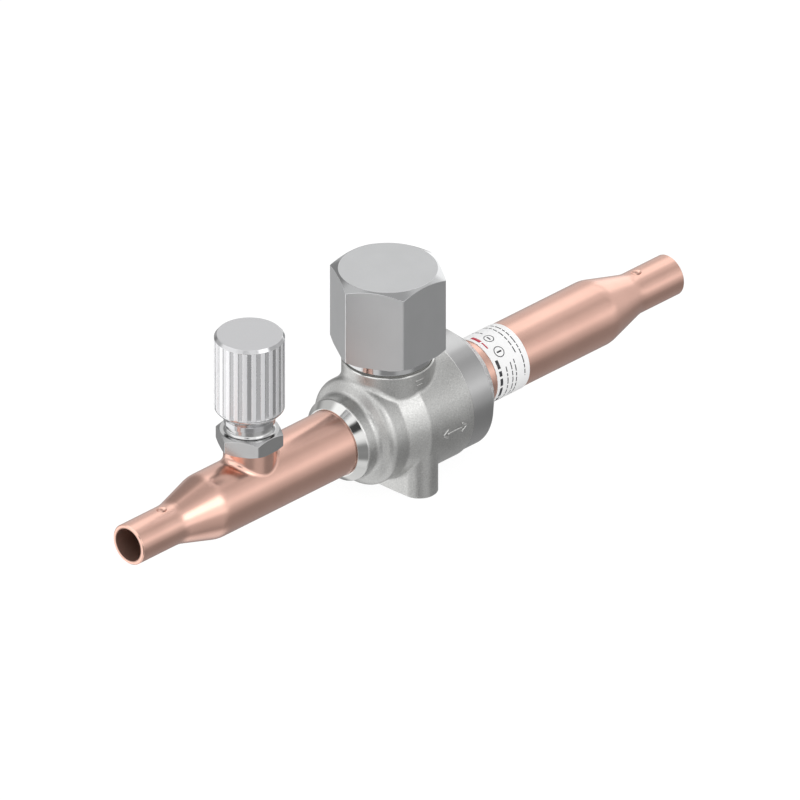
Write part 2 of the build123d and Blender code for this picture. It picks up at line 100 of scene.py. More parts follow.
def pull_to(tree, value, mask, target):
    """A value that becomes the target where the mask is 1: value + mask * (target - value)."""
    return add_masked(tree, value, mask, math_node(tree, "SUBTRACT", target, value))


def off_axis(tree, across, along):
    """How far a place is from an axis: the root of its two offsets' squares added."""
    squares = [math_node(tree, "MULTIPLY", offset, offset) for offset in (across, along)]
    return math_node(tree, "SQRT", math_node(tree, "ADD", *squares))


def vector_node(tree, operation, first, second=None):
    """A vector math node whose operands are vectors or sockets."""
    node = tree.nodes.new("ShaderNodeVectorMath")
    node.operation = operation
    join(tree, first, node.inputs[0])
    join(tree, second, node.inputs[1])
    return node.outputs["Value" if operation == "DOT_PRODUCT" else "Vector"]


def soft_step(tree, value, low, high, start=0.0, end=1.0):
    """A smooth step of value, from start at low to end at high."""
    node = tree.nodes.new("ShaderNodeMapRange")
    node.interpolation_type = "SMOOTHSTEP"
    labels = ("Value", "From Min", "From Max", "To Min", "To Max")
    for label, item in zip(labels, (value, low, high, start, end)):
        join(tree, item, node.inputs[label])
    return node.outputs["Result"]


def past(tree, value, start, full):
    """A mask of what lies past a place on an axis: 0 at start and 1 at full, both in mm."""
    return soft_step(tree, value, start * MM, full * MM)


def split_node(tree, vector):
    """The x, y and z of a vector."""
    node = tree.nodes.new("ShaderNodeSeparateXYZ")
    tree.links.new(vector, node.inputs[0])
    return node.outputs["X"], node.outputs["Y"], node.outputs["Z"]


def noise_node(tree, place, scale, detail=2.0, roughness=0.5):
    """The value of a noise texture at a place."""
    node = tree.nodes.new("ShaderNodeTexNoise")
    tree.links.new(place, node.inputs["Vector"])
    join(tree, scale, node.inputs["Scale"])
    join(tree, detail, node.inputs["Detail"])
    join(tree, roughness, node.inputs["Roughness"])
    return node.outputs["Fac"]


def mix_colour(tree, share, first, second):
    """A mix of two colours."""
    node = tree.nodes.new("ShaderNodeMix")
    node.data_type = "RGBA"
    join(tree, share, node.inputs["Factor"])
    join(tree, first, node.inputs["A"])
    join(tree, second, node.inputs["B"])
    return node.outputs["Result"]


def shader_node(tree, kind, colour=None):
    """A shader of one kind in its own or the given colour."""
    node = tree.nodes.new("ShaderNode" + kind)
    join(tree, colour, node.inputs["Color"])
    return node.outputs[0]


def mix_shader(tree, share, first, second):
    """A mix of two shaders."""
    node = tree.nodes.new("ShaderNodeMixShader")
    for place, value in enumerate((share, first, second)):
        join(tree, value, node.inputs[place])
    return node.outputs[0]


def new_group(name, inputs, outputs):
    """An empty shader group, with inputs as (label, kind, value) and outputs as (label, kind)."""
    tree = bpy.data.node_groups.new(name, "ShaderNodeTree")
    kinds = {"number": "NodeSocketFloat", "vector": "NodeSocketVector"}
    for label, kind, value in inputs:
        socket = tree.interface.new_socket(label, in_out="INPUT", socket_type=kinds[kind])
        if value is not None:
            socket.default_value = value
    for label, kind in outputs:
        tree.interface.new_socket(label, in_out="OUTPUT", socket_type=kinds[kind])
    given = tree.nodes.new("NodeGroupInput").outputs
    result = tree.nodes.new("NodeGroupOutput").inputs
    return tree, given, result


def place_group(tree, group, **values):
    """A group node with its sockets set by label, an underscore standing for a space."""
    node = tree.nodes.new("ShaderNodeGroup")
    node.node_tree = group
    for label, value in values.items():
        join(tree, value, node.inputs[label.replace("_", " ")])
    return node.outputs


# Shader groups shared by the finishes and the studio

def make_studio_panel():
    """One soft panel of the studio, set in degrees of azimuth and elevation round the object.

    The level goes to the panel's own level inside a rectangle with soft edges: in both directions,
    how far the ray is past the panel's half size is stepped from 1 to 0 across twice the softness.
    """
    labels = ("Level", "Azimuth", "Elevation", "Panel Azimuth", "Panel Elevation")
    labels += ("Half Width", "Half Height", "Softness", "Panel Level")
    tree, given, result = new_group(
        "studio_panel", [(label, "number", 0.0) for label in labels], [("Level", "number")]
    )
    turn = math_node(tree, "SUBTRACT", given["Azimuth"], given["Panel Azimuth"])
    turn = math_node(tree, "ABSOLUTE", math_node(tree, "WRAP", turn, 180.0, -180.0))
    rise = math_node(tree, "SUBTRACT", given["Elevation"], given["Panel Elevation"])
    rise = math_node(tree, "ABSOLUTE", rise)
    across = math_node(tree, "SUBTRACT", turn, given["Half Width"])
    along = math_node(tree, "SUBTRACT", rise, given["Half Height"])
    near = math_node(tree, "MULTIPLY", given["Softness"], -1.0)
    inside = math_node(
        tree,
        "MULTIPLY",
        soft_step(tree, across, near, given["Softness"], 1.0, 0.0),
        soft_step(tree, along, near, given["Softness"], 1.0, 0.0),
    )
    join(tree, pull_to(tree, given["Level"], inside, given["Panel Level"]), result["Level"])
    return tree


def make_bead_blast():
    """Blasted grain: fine dents as a height, and a mask of the few brighter facets. Grain in mm."""
    tree, given, result = new_group(
        "bead_blast",
        [("Place", "vector", None), ("Grain", "number", 0.3)],
        [("Height", "number"), ("Facets", "number")],
    )
    scale = math_node(tree, "DIVIDE", 1.0 / MM, given["Grain"])
    join(tree, noise_node(tree, given["Place"], scale, 2.0, 0.6), result["Height"])
    coarse = math_node(tree, "MULTIPLY", scale, 0.55)
    elsewhere = vector_node(tree, "ADD", given["Place"], (0.37, 0.11, 0.53))
    facets = noise_node(tree, elsewhere, coarse, 1.0, 0.5)
    join(tree, soft_step(tree, facets, 0.58, 0.74), result["Facets"])
    return tree


def make_turned_lines():
    """Fine tool lines: a height that changes with Distance alone, in metres along a feed in mm."""
    tree, given, result = new_group(
        "turned_lines", [("Distance", "number", 0.0), ("Feed", "number", 0.15)], [("Height", "number")]
    )
    node = tree.nodes.new("ShaderNodeTexNoise")
    node.noise_dimensions = "1D"
    turns = math_node(tree, "DIVIDE", given["Distance"], math_node(tree, "MULTIPLY", given["Feed"], MM))
    join(tree, turns, node.inputs["W"])
    node.inputs["Scale"].default_value = 1.0
    node.inputs["Detail"].default_value = 3.0
    join(tree, node.outputs["Fac"], result["Height"])
    return tree


def make_drawn_streaks():
    """Streaks as a height, and a soft cloud. Stretch squeezes the place along them. Width in mm."""
    tree, given, result = new_group(
        "drawn_streaks",
        [("Place", "vector", None), ("Stretch", "vector", (0.03, 1.0, 1.0)), ("Width", "number", 0.3)],
        [("Height", "number"), ("Cloud", "number")],
    )
    place = vector_node(tree, "MULTIPLY", given["Place"], given["Stretch"])
    scale = math_node(tree, "DIVIDE", 1.0 / MM, given["Width"])
    join(tree, noise_node(tree, place, scale, 3.0, 0.55), result["Height"])
    join(tree, noise_node(tree, given["Place"], 110.0), result["Cloud"])
    return tree


def make_edge_highlight():
    """How far a rounded normal leans off the real one: a mask of the edges, where the finishes paint a
    highlight.
    """
    tree, given, result = new_group(
        "edge_highlight", [("Rounded", "vector", None), ("Real", "vector", None)], [("Edge", "number")]
    )
    same = vector_node(tree, "DOT_PRODUCT", given["Rounded"], given["Real"])
    lean = math_node(tree, "SUBTRACT", 1.0, same)
    join(tree, soft_step(tree, lean, 0.004, 0.08), result["Edge"])
    return tree


studio_panel = make_studio_panel()
bead_blast = make_bead_blast()
turned_lines = make_turned_lines()
drawn_streaks = make_drawn_streaks()
edge_highlight = make_edge_highlight()


# Studio: azimuth, elevation, half width, half height and softness in degrees, and the light level

STUDIO_PANELS = {
    "zenith": (0.0, 90.0, 200.0, 22.0, 8.0, 0.56),
    "front_left_wall": (-150.0, 36.0, 45.0, 34.0, 10.0, 1.4),
    "left_softbox": (150.0, 40.0, 28.0, 22.0, 8.0, 1.6),
    "front_light": (-84.0, 34.0, 18.0, 15.0, 6.0, 2.4),
    "front_light_foot": (-87.0, 6.0, 21.0, 14.0, 7.0, 1.35),
    "camera_gap": (-147.0, 33.0, 11.0, 11.0, 4.0, 0.08),
    "overhead_softbox": (27.0, 48.0, 26.0, 13.0, 8.0, 1.4),
    "back_gap": (76.0, 28.0, 18.0, 31.0, 7.0, 0.35),
    "right_back_wall": (21.0, 6.0, 19.0, 24.0, 6.0, 1.5),
    "front_right_gap": (-33.0, 42.0, 10.0, 12.0, 7.0, 0.6),
    "front_right_light": (-52.0, 12.0, 22.0, 8.0, 7.0, 1.12),
    "front_right_floor": (-40.0, -34.0, 22.0, 12.0, 8.0, 0.31),
    "front_left_floor": (-130.0, -14.0, 15.0, 9.0, 6.0, 0.36),
    "left_sweep": (-178.0, -30.0, 22.0, 18.0, 7.0, 0.9),
    "left_back_sweep": (126.0, -42.0, 30.0, 36.0, 6.0, 1.4),
    "front_fill": (-93.0, -32.0, 22.0, 24.0, 9.0, 0.62),
    "front_left_sweep": (-138.0, -53.0, 24.0, 11.0, 6.0, 1.05),
    "floor_bounce": (0.0, -90.0, 200.0, 30.0, 8.0, 0.98),
}
PANEL_SOCKETS = ("Panel_Azimuth", "Panel_Elevation", "Half_Width", "Half_Height", "Softness", "Panel_Level")


def make_world():
    """White for the camera, and for every other ray a studio of soft panels, darker in its lower half."""
    world = bpy.data.worlds.new("studio")
    bpy.context.scene.world = world
    world.use_nodes = True
    tree = world.node_tree
    tree.nodes.clear()
    x, y, z = split_node(tree, tree.nodes.new("ShaderNodeTexCoord").outputs["Generated"])
    azimuth = math_node(tree, "DEGREES", math_node(tree, "ARCTAN2", y, x))
    elevation = math_node(tree, "DEGREES", math_node(tree, "ARCSINE", z))
    lower_half, upper_half = 0.35, 0.82
    level = soft_step(tree, elevation, -30.0, 10.0, lower_half, upper_half)
    for values in STUDIO_PANELS.values():
        panel = dict(zip(PANEL_SOCKETS, values))
        level = place_group(
            tree, studio_panel, Level=level, Azimuth=azimuth, Elevation=elevation, **panel
        )["Level"]
    studio = shader_node(tree, "Background", level)
    white = shader_node(tree, "Background", (1, 1, 1, 1))
    seen = tree.nodes.new("ShaderNodeLightPath").outputs["Is Camera Ray"]
    output = tree.nodes.new("ShaderNodeOutputWorld")
    join(tree, mix_shader(tree, seen, studio, white), output.inputs["Surface"])


def place_camera():
    """An orthographic camera that looks down at 30 degrees from between -X and -Y."""
    right_of_axis, above_axis, seen_width = 2.775, 3.483, 183.9
    toward = Vector((-0.61237, -0.61237, 0.5))
    right = Vector((0.70711, -0.70711, 0.0))
    up = toward.cross(right)
    target = (Vector((0, 0, TUBE_AXIS_Z)) + right * right_of_axis + up * above_axis) * MM
    data = bpy.data.cameras.new("camera")
    data.type = "ORTHO"
    data.ortho_scale = seen_width * MM
    data.clip_end = 10.0
    camera = bpy.data.objects.new("camera", data)
    bpy.context.scene.collection.objects.link(camera)
    turned_to_view = Matrix((right, up, toward)).transposed().to_4x4()
    camera.matrix_world = Matrix.Translation(target + toward) @ turned_to_view
    bpy.context.scene.camera = camera


def make_floor():
    """A white floor just under the foot, with the object's faint shadow, for a camera above it alone.

    It glows nearly white and its dim diffuse part takes up the rest where no shadow falls. It is
    clear for every other ray and from below.
    """
    reach, drop = 3.0, 0.02
    glow, matt = (0.93, 0.93, 0.93, 1), (0.12, 0.12, 0.12, 1)
    mesh = bpy.data.meshes.new("floor")
    corners = [(x * reach, y * reach, -drop * MM) for x, y in ((-1, -1), (1, -1), (1, 1), (-1, 1))]
    mesh.from_pydata(corners, [], [(0, 1, 2, 3)])
    floor = bpy.data.objects.new("floor", mesh)
    bpy.context.scene.collection.objects.link(floor)
    material = bpy.data.materials.new("floor_white")
    material.use_nodes = True
    tree = material.node_tree
    tree.nodes.clear()
    add = tree.nodes.new("ShaderNodeAddShader")
    join(tree, shader_node(tree, "Emission", glow), add.inputs[0])
    join(tree, shader_node(tree, "BsdfDiffuse", matt), add.inputs[1])
    clear = shader_node(tree, "BsdfTransparent")
    seen = tree.nodes.new("ShaderNodeLightPath").outputs["Is Camera Ray"]
    under = tree.nodes.new("ShaderNodeNewGeometry").outputs["Backfacing"]
    seen = math_node(tree, "SUBTRACT", seen, under)
    output = tree.nodes.new("ShaderNodeOutputMaterial")
    join(tree, mix_shader(tree, seen, clear, add.outputs[0]), output.inputs["Surface"])
    mesh.materials.append(material)


# Surfaces

def rounded_section(corners, rounds, steps=4):
    """Rows along a section of straight runs whose corners are rounded by circular arcs.

    Each corner is (a, b), numbers or arrays over the columns, and rounds has its arc's radius. The
    arc is the rational quadratic curve from the tangent point before the corner to the one after
    it, weighted by the sine of half the corner's angle, which is a circle. It is made smaller where
    it would take up more than a share of the shorter run beside it. A row close to each end of the
    arc keeps the shading of the flats level. Returns two arrays of rows by columns.
    """
    most_of_run, margin_share = 0.46, 0.12
    columns = max(np.size(value) for corner in corners for value in corner)
    points = np.array([[np.broadcast_to(value, columns) for value in corner] for corner in corners], float)
    points = points.transpose(0, 2, 1)
    rows = [points[0]]
    shares = np.linspace(0, 1, steps + 1)[:, None, None]
    for place in range(1, len(points) - 1):
        corner = points[place]
        back = points[place - 1] - corner
        ahead = points[place + 1] - corner
        back_length = np.linalg.norm(back, axis=-1, keepdims=True)
        ahead_length = np.linalg.norm(ahead, axis=-1, keepdims=True)
        back = back / np.maximum(back_length, 1e-9)
        ahead = ahead / np.maximum(ahead_length, 1e-9)
        cosine = np.clip((back * ahead).sum(-1, keepdims=True), -0.99999, 0.99999)
        half_sine = np.sqrt((1 - cosine) / 2)
        half_tangent = np.sqrt((1 - cosine) / (1 + cosine))
        reach = rounds[place] / np.maximum(half_tangent, 1e-6)
        reach = np.minimum(reach, most_of_run * np.minimum(back_length, ahead_length))
        first = corner + back * reach
        last = corner + ahead * reach
        weight = 2 * half_sine * shares * (1 - shares)
        total = (1 - shares) ** 2 + weight + shares**2
        arc = ((1 - shares) ** 2 * first + weight * corner + shares**2 * last) / total
        margin = margin_share * reach
        rows.append(first + back * margin)
        rows.extend(arc)
        rows.append(last + ahead * margin)
    rows.append(points[-1])
    rows = np.stack(rows)
    return rows[..., 0], rows[..., 1]


def thread_rows(angles, start, end, base, depth, pitch, fade=0.8):
    """Rows of a screw thread: radius and height over the angles, from start to end.

    Row k keeps one phase of the thread and climbs one pitch in a turn: height = start + pitch *
    (k's phase - 1 + angle / full turn), held between start and end. The radius is base + depth
    times a flat-topped wave of the phase, and the wave fades in and out over the first and last
    fade pitches.
    """
    phases = np.array([0.0, 0.1, 0.15, 0.4, 0.45, 0.55, 0.6, 0.85, 0.9])
    wave = np.array([0.0, 0.0, 0.07, 0.93, 1.0, 1.0, 0.93, 0.07, 0.0])
    turns = int(np.ceil((end - start) / pitch)) + 1
    phase = (np.arange(turns)[:, None] + phases).reshape(-1, 1)
    height = start + pitch * (phase - 1 + angles / (2 * np.pi))
    inside = np.clip(height, start, end)
    room = np.minimum(inside - start, end - inside) / (fade * pitch)
    radius = base + depth * np.tile(wave, turns)[:, None] * np.clip(room, 0, 1)
    return radius, inside


def hexagon_corner(flats, corner_round):
    """A rounded corner: its arc's centre, as a distance, and the angle from it to its tangent point."""
    sixth = np.pi / 6
    centre = (flats / 2 - corner_round) / np.cos(sixth)
    tangent = np.arctan2(corner_round * np.sin(sixth), centre + corner_round * np.cos(sixth))
    return centre, tangent


def hexagon_radius(angles, flats, corner_round):
    """How far a hexagon with rounded corners on the X axis reaches at each angle.

    Past the tangent point it is the flat, half the flats over the cosine from the flat's middle.
    Before it, it is the corner's arc about its centre c: c cos a + sqrt(round^2 - c^2 sin^2 a).
    """
    centre, tangent = hexagon_corner(flats, corner_round)
    off_corner = np.abs((angles + np.pi / 6) % (np.pi / 3) - np.pi / 6)
    flat = flats / 2 / np.cos(np.pi / 6 - off_corner)
    inner = np.maximum(corner_round**2 - (centre * np.sin(off_corner)) ** 2, 0)
    return np.where(off_corner < tangent, centre * np.cos(off_corner) + np.sqrt(inner), flat)


def hexagon_angles(flats, corner_round, arc_steps=6, flat_steps=26):
    """Angles for a rounded hexagon: close together on each corner's arc, wide on the flats."""
    tangent = hexagon_corner(flats, corner_round)[1]
    flat_start = tangent * 1.25
    arc = np.linspace(-tangent, tangent, arc_steps + 1)
    flat = np.linspace(flat_start, np.pi / 3 - flat_start, flat_steps)
    sector = np.concatenate([arc, flat])
    angles = (np.arange(6)[:, None] * np.pi / 3 + sector).ravel()
    angles = np.sort(angles % (2 * np.pi))
    return np.concatenate([[0.0], angles[angles > 1e-6], [2 * np.pi]])


def smooth(share):
    """A soft step of a share s from 0 to 1: s^2 (3 - 2 s)."""
    return share * share * (3 - 2 * share)


def turned(sections, angles, centre_x=0.0):
    """Points of sections turned about an upright axis: x = r cos a, y = r sin a, z the height.

    A section is two arrays of rows, radius and height, with a column for every angle or one for all.
    """
    parts = [[np.broadcast_to(part, (len(part), len(angles))) for part in section] for section in sections]
    radius, height = (np.vstack(rows) for rows in zip(*parts))
    return np.stack([centre_x + radius * np.cos(angles), radius * np.sin(angles), height], -1)


def new_piece(name, grids, body, look, replaced=None):
    """A piece of grids of points in mm, with quads between neighbours.

    Its doubles are merged, its faces turned outwards and shaded smooth, and it is put in the scene.
    """
    points = np.concatenate([grid.reshape(-1, 3) for grid in grids])
    quads = []
    offset = 0
    for rows, columns in (grid.shape[:2] for grid in grids):
        index = np.arange(rows * columns).reshape(rows, columns) + offset
        corners = (index[:-1, :-1], index[:-1, 1:], index[1:, 1:], index[1:, :-1])
        quads.append(np.stack(corners, -1).reshape(-1, 4))
        offset += rows * columns
    mesh = bpy.data.meshes.new(name)
    mesh.from_pydata((points * MM).tolist(), [], np.concatenate(quads).tolist())
    work = bmesh.new()
    work.from_mesh(mesh)
    bmesh.ops.remove_doubles(work, verts=work.verts, dist=0.0005 * MM)
    bmesh.ops.dissolve_degenerate(work, edges=work.edges, dist=0.0001 * MM)
    bmesh.ops.recalc_face_normals(work, faces=work.faces)
    work.to_mesh(mesh)
    work.free()
    mesh.polygons.foreach_set("use_smooth", np.ones(len(mesh.polygons), bool))
    mesh.materials.append(looks[look])
    piece = bpy.data.objects.new(name, mesh)
    bpy.context.scene.collection.objects.link(piece)
    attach(piece, body)
    if replaced:
        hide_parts(replaced)
    return piece


# Pieces

def make_hex_cap():
    """The seal cap: hexagon with its corners turned off, polished skirt, and a threaded bore."""
    flats, corner_round, bottom_r = 24.0, 0.4, 12.5
    skirt_r, skirt_low, bore_r, lead, roof = 10.35, 31.7, 8.1, 0.35, 51.61
    thread_low, thread_high, thread_depth, pitch = skirt_low + 1.2, 43.0, 0.45, 1.5
    angles = hexagon_angles(flats, corner_round)
    reach = hexagon_radius(angles, flats, corner_round)
    outside = rounded_section(
        [
            (0.0, CAP_TOP),
            (CAP_TOP_R, CAP_TOP),
            (reach, CAP_TOP - (reach - CAP_TOP_R) * CHAMFER_SLOPE),
            (reach, CAP_BOTTOM + np.maximum(reach - bottom_r, 0.1) * CHAMFER_SLOPE),
            (np.minimum(reach - 0.1, bottom_r), CAP_BOTTOM),
            (skirt_r, CAP_BOTTOM),
            (skirt_r, skirt_low),
            (bore_r + lead, skirt_low),
            (bore_r, skirt_low + lead),
            (bore_r, thread_low),
        ],
        (0, 0.12, 0.12, 0.1, 0.15, 0.25, 0.3, 0.05, 0.05, 0),
    )
    thread = thread_rows(angles, thread_low, thread_high, bore_r, thread_depth, pitch)
    inside = rounded_section([(bore_r, thread_high), (bore_r, roof), (0.0, roof)], (0, 0.4, 0))
    points = turned([outside, thread, inside], angles)
    new_piece("hex_cap", [points], "seal_cap_body", "cap", "seal_cap")


def flute_depths(angles):
    """How deep the flutes cut at each angle: level floors, with soft walls between them and the ridges."""
    depth, wall_end, wall_width = 0.16, math.radians(4.35), math.radians(1.3)
    off = np.abs((angles + np.pi / FLUTES) % (2 * np.pi / FLUTES) - np.pi / FLUTES)
    return depth * smooth(np.clip((wall_end - off) / wall_width, 0, 1))


def make_fluted_cap():
    """The access cap: ring, cone and fluted side under a chamfer, with a threaded bore and a recess."""
    top, top_r, side_low, ring_r, ring_cone, ring_low, lead = 55.55, 7.61, 36.35, 5.98, 33.96, 32.6, 0.14
    bore_r, thread_low, thread_high, thread_depth, pitch = 5.66, 33.4, 42.6, 0.3, 1.27
    step, recess_r, roof = 45.71, 4.2, 52.15
    flute_top, flute_bottom, top_fade, bottom_fade, inner_r = 54.78, 36.55, 0.14, 0.5, 7.0
    half_pitch = 180 / FLUTES
    half = np.array([2, 3.05, 3.35, 3.7, 4.05, 4.35, 4.8, 6])
    around = np.concatenate([[-half_pitch], -half[::-1], [0], half])
    angles = (np.arange(FLUTES)[:, None] * 2 * half_pitch + around).ravel()
    angles = np.radians(np.append(angles, 360 - half_pitch))
    radius, height = rounded_section(
        [
            (0.0, top),
            (top_r, top),
            (FLUTED_R, FLUTED_RIM),
            (FLUTED_R, side_low),
            (ring_r, ring_cone),
            (ring_r, ring_low),
            (bore_r + lead, ring_low),
            (bore_r, ring_low + lead),
            (bore_r, thread_low),
        ],
        (0, 0.12, 0.1, 1.2, 0.5, 0.3, 0.05, 0.05, 0),
        steps=6,
    )
    added = np.array([54.72, 54.66, 54.6, 54.5, 50.0, 45.0, 40.0, 38.0])[:, None]
    split = np.count_nonzero(height > added[0])
    radius = np.vstack([radius[:split], np.full(added.shape, FLUTED_R), radius[split:]])
    height = np.vstack([height[:split], added, height[split:]])
    fade = np.clip((flute_top - height) / top_fade, 0, 1)
    fade = fade * np.clip((height - flute_bottom) / bottom_fade, 0, 1)
    radius = np.where(radius > inner_r, radius - flute_depths(angles) * smooth(fade), radius)
    thread = thread_rows(angles, thread_low, thread_high, bore_r, thread_depth, pitch)
    inside = rounded_section(
        [(bore_r, thread_high), (bore_r, step), (recess_r, step), (recess_r, roof), (0.0, roof)],
        (0, 0.05, 0.1, 0.4, 0),
    )
    points = turned([(radius, height), thread, inside], angles, PORT_X)
    new_piece("fluted_cap", [points], "port_cap_body", "fluted_cap", "access_cap")


def make_access_port():
    """The access port: stem, hexagon with turned faces, neck, screw thread, flared mouth and bore."""
    flats, corner_round, low, high = 14.0, 0.25, 26.5, 30.5
    bottom_r, top_r, neck_r, flare_r = 7.1, 6.9, 5.3, 0.9
    stem_r, stem_low, bore_r, seat_r, seat_low = 4.55, 22.5, 2.3, 2.6, 33.6
    root_r, thread_low, thread_high, thread_depth, pitch = 4.96, 32.8, 42.09, 0.6, 1.27
    mouth_r, mouth = 3.6, 44.09
    angles = hexagon_angles(flats, corner_round)
    reach = hexagon_radius(angles, flats, corner_round)
    lower = rounded_section(
        [
            (bore_r, stem_low),
            (stem_r, stem_low),
            (stem_r, low),
            (np.minimum(bottom_r, reach - 0.1), low),
            (reach, low + np.maximum(reach - bottom_r, 0.1) * CHAMFER_SLOPE),
            (reach, high - (reach - top_r) * CHAMFER_SLOPE),
            (top_r, high),
            (neck_r + flare_r, high),
        ],
        (0, 0.1, 0.05, 0.06, 0.08, 0.1, 0.12, 0),
    )
    quarter = np.linspace(np.pi / 2, 0, 12)[:, None]
    flare = (neck_r + flare_r * (1 - np.cos(quarter)), high + flare_r * (1 - np.sin(quarter)))
    neck = rounded_section(
        [(neck_r, high + flare_r), (neck_r, thread_low - 0.2), (root_r, thread_low)], (0, 0.1, 0)
    )
    thread = thread_rows(angles, thread_low, thread_high, root_r, thread_depth, pitch, 0.6)
    upper = rounded_section(
        [
            (root_r, thread_high),
            (mouth_r, mouth),
            (seat_r, mouth),
            (seat_r, seat_low),
            (bore_r, seat_low),
            (bore_r, stem_low),
        ],
        (0, 0.15, 0.15, 0.05, 0.05, 0),
    )
    points = turned([lower, flare, neck, thread, upper], angles, PORT_X)
    new_piece("access_port", [points], "housing", "port", "access_valve_body")


def make_core_spring():
    """The core's spring: a round wire wound evenly in a helix, its ends shrunk shut.

    At each turn the wire's middle is coil from the axis, and its ring adds wire cos b outwards and
    wire sin b upwards.
    """
    low, high, coil, wire, turns = 34.98, 39.82, 1.05, 0.16, 6
    full = 2 * np.pi * turns
    turn = np.concatenate([[0], np.linspace(0, full, 36 * turns + 1), [full]])[:, None]
    thick = np.full(turn.shape, wire)
    thick[[0, -1]] = 0
    ring = np.linspace(0, 2 * np.pi, 13)
    radius = coil + thick * np.cos(ring)
    height = low + (high - low) * turn / full + thick * np.sin(ring)
    points = np.stack([PORT_X + radius * np.cos(turn), radius * np.sin(turn), height], -1)
    piece = new_piece("coil_spring", [points], "housing", "steel", "core_spring")
    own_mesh(piece)


def on_tube(x, turn, lift):
    """A point on a round form about the tube axis: x along it, turn from +Z towards -Y, lift its radius."""
    return np.stack([x, -lift * np.sin(turn), TUBE_AXIS_Z + lift * np.cos(turn)], -1)


def on_boss(height, turn, lift):
    """A point on a round form about the spindle's axis: its height, its azimuth turn and its radius."""
    return np.stack([lift * np.cos(turn), lift * np.sin(turn), height], -1)


# Closed cross sections of a raised line: share of its half width, and share of its rise
FLAT_LINE = np.array([(-1, 0), (-1, 1), (0, 1), (1, 1), (1, 0), (0, 0), (-1, 0)]).T
SOFT_LINE = np.array(
    [(-1, 0), (-0.9, 0.4), (-0.55, 0.85), (0, 1), (0.55, 0.85), (0.9, 0.4), (1, 0), (0, 0), (-1, 0)]
).T


def stroke(start, end, half_width, base_r, rise, steps=8, form=on_tube, line=FLAT_LINE):
    """A raised stroke between two places (along, degrees) on a round form, half_width to each side.

    Its cross section goes round the given line, from a little under the form's surface to rise above
    it, and its first and last rows shrink to the middle of that section, which closes the ends.
    """
    share = np.concatenate([[0], np.linspace(0, 1, steps), [1]])[:, None]
    size = np.ones_like(share)
    size[[0, -1]] = 0
    side = line[0] * half_width * size
    lift = base_r - LINE_SUNK + (rise + LINE_SUNK) * (0.5 + (line[1] - 0.5) * size)
    along_x = end[0] - start[0]
    along_arc = math.radians(end[1] - start[1]) * base_r
    length = math.hypot(along_x, along_arc)
    x = start[0] + along_x * share - side * along_arc / length
    turn = math.radians(start[1]) + (along_arc * share + side * along_x / length) / base_r
    return form(x, turn, lift)


def label_ring(x, degrees, ring_r, half_width=0.11, steps=32):
    """A printed ring round a place (x, degrees) on the label, with a closed flat cross section."""
    angle = np.linspace(0, 2 * np.pi, steps + 1)[:, None]
    radius = ring_r + FLAT_LINE[0] * half_width
    lift = LABEL_R - LINE_SUNK + (INK_RISE + LINE_SUNK) * FLAT_LINE[1]
    turn = math.radians(degrees) + radius * np.sin(angle) / LABEL_R
    return on_tube(x + radius * np.cos(angle), turn, lift)


def label_stroke(start, end, half_width, steps=8):
    """A printed stroke on the label."""
    return stroke(start, end, half_width, LABEL_R, INK_RISE, steps)


def label_dashes(x, start, end, half_width, lengths, gap):
    """Strokes in one line round the label, with the given lengths in degrees repeated, gap apart."""
    strokes = []
    for length in itertools.cycle(lengths):
        if start >= end:
            return strokes
        stop = min(start + length, end)
        strokes.append(label_stroke((x, start), (x, stop), half_width, 5))
        start = stop + gap


def make_label_print():
    """Generic print on the label: bars, dashed lines and two plain rings, with no lettering."""
    bold, thin, small = 0.42, 0.14, 0.2
    dark = label_dashes(28.9, 50, 132, bold, (15, 9, 13, 19), 4)
    for x, start, end, lengths in (
        (30.9, 66, 150, (9, 5, 12, 7)),
        (32.5, 62, 128, (13, 8, 10)),
        (33.7, 60, 156, (7, 11, 6, 9)),
        (35.0, -30, 52, (12, 7, 9)),
        (36.4, -22, 96, (8, 14, 6)),
        (31.9, -34, -6, (6, 9)),
    ):
        dark += label_dashes(x, start, end, thin, lengths, 2.5)
    dark.append(label_ring(31.0, 39, 1.3))
    dark.append(label_stroke((30.3, 39), (31.7, 39), small, 4))
    dark.append(label_ring(31.5, 9, 1.15))
    dark.append(label_stroke((31.5, 5), (31.5, 13), small, 4))
    new_piece("label_print_dark", dark, "housing", "ink_dark")
    red = [label_stroke((28.9, -12), (28.9, 8), 0.45), label_stroke((28.9, 11), (28.9, 26), small)]
    new_piece("label_print_red", red, "housing", "ink_red")


def make_forged_marks():
    """Forged marks: a raised two-headed flow arrow on the barrel, and two plain bars on the boss.

    Each head is two barbs, which start a little apart so that their shells share no edge.
    """
    barrel_r, rise, half_width, middle = 15.15, 0.18, 0.28, 92.5
    barb, barb_turn, apart = 1.7, math.degrees(1.15 / barrel_r), 0.03
    ends = [((4.2, middle), (9.4, middle))]
    for tip, way in ((3.0, 1), (10.6, -1)):
        for side in (-1, 1):
            ends.append(((tip + side * apart, middle), (tip + way * barb, middle + side * barb_turn)))
    arrow = [stroke(start, end, half_width, barrel_r, rise, line=SOFT_LINE) for start, end in ends]
    new_piece("flow_mark", arrow, "housing", "body")
    boss_r, rise, half_width = 10.76, 0.17, 0.19
    ends = [((28.3, -97.0), (28.3, -88.0)), ((29.5, -99.0), (29.5, -86.0))]
    bars = [
        stroke(start, end, half_width, boss_r, rise, form=on_boss, line=SOFT_LINE) for start, end in ends
    ]
    new_piece("boss_mark", bars, "housing", "body")


# Finishes

